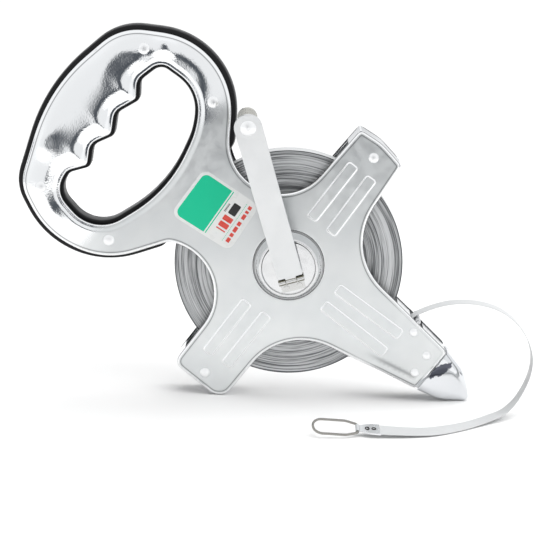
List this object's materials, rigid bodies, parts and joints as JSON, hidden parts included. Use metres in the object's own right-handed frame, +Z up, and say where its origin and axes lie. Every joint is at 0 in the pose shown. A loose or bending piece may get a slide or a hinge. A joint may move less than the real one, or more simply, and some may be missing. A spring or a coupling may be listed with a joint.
{
  "type": "surveyor tape reel",
  "caption": "Open-frame long tape reel with a pressed steel frame, hand loop grip, pointed nose, folding crank with a knurled knob, and a tape end with a hook ring.",
  "frame": {"origin": "middle of the bottom of the reel's own box, without the free tape and its hook, on the surface it stands on", "axes": "+X to the right seen from the crank side, towards the nose; +Y away from the crank side, along the hub axis; +Z up"},
  "size_m": [0.3605, 0.1227, 0.2571],
  "materials": {
    "satin_nickel_plate": "satin nickel-plated pressed sheet",
    "bright_chrome": "bright chrome",
    "bright_rivet": "bright domed rivets",
    "hub_nickel": "satin nickel",
    "crank_nickel": "satin nickel, pale",
    "knurled_nickel": "knurled nickel",
    "zinc_steel": "zinc-plated steel",
    "grip_black": "satin black",
    "bush_plastic": "plain",
    "label_film": null,
    "tape_white": "enamelled steel blade, pale grey-white",
    "tape_coil_grey": "wound turns seen edge on",
    "dark_eyelet": "dark"
  },
  "bodies": {
    "frame": {"front_frame_plate": "satin_nickel_plate", "back_frame_plate": "satin_nickel_plate", "handle_grip_core": "grip_black", "upper_arm_end_cap": "bright_chrome", "lower_arm_end_cap": "bright_chrome", "arm_spacer_tubes": "zinc_steel", "handle_rivets": "bright_rivet", "arm_rivets": "bright_rivet", "nose_rivets": "bright_rivet", "nose_tip": "bright_chrome", "mouth_entry_strip": "bright_chrome", "mouth_exit_strip": "bright_chrome", "guide_roller_pin": "zinc_steel", "front_hub_bush": "bush_plastic", "rear_hub_bush": "bush_plastic", "label": "label_film", "tape_inner_run": "tape_white", "tape_free_end": "tape_white", "tape_end_clip": "zinc_steel", "clip_eyelets": "dark_eyelet"},
    "guide_roller": {"tape_guide_roller": "zinc_steel"},
    "reel": {"hub_drum": "zinc_steel", "front_drum_disc": "zinc_steel", "rear_drum_disc": "zinc_steel", "tape_coil": "tape_coil_grey", "hub_boss": "hub_nickel", "rear_hub": "hub_nickel", "hub_axle": "zinc_steel", "axle_nut": "zinc_steel", "crank_lug": "hub_nickel", "lug_rivets": "bright_rivet", "crank_hinge_pin": "zinc_steel"},
    "crank": {"crank_arm": "crank_nickel", "knob_rivet": "bright_rivet", "knob_washer": "zinc_steel"},
    "knob": {"knob": "knurled_nickel"},
    "hook": {"hook_ring": "bright_chrome"}
  },
  "joints": [
    {"name": "reel_spin", "type": "hinge", "parent": "frame", "child": "reel", "pos_m": [0.0295, 0.01525, 0.0953], "axis": [0, -1, 0], "continuous": true},
    {"name": "crank_fold", "type": "hinge", "parent": "reel", "child": "crank", "pos_m": [0.0318, -0.01105, 0.0874], "axis": [0.9563, 0, 0.2924], "range_deg": [-10, 125]},
    {"name": "knob_spin", "type": "hinge", "parent": "crank", "child": "knob", "pos_m": [-0.00117, -0.03093, 0.19523], "axis": [-0.0508, 0.9848, 0.1661], "continuous": true},
    {"name": "guide_roller_spin", "type": "hinge", "parent": "frame", "child": "guide_roller", "pos_m": [0.1214, 0.01525, 0.0579], "axis": [0, -1, 0], "continuous": true},
    {"name": "hook_swing", "type": "hinge", "parent": "frame", "child": "hook", "pos_m": [0.07896, -0.08022, 0.00451], "axis": [-0.0564, 0.8796, 0.4723], "range_deg": [-100, 100]}
  ]
}
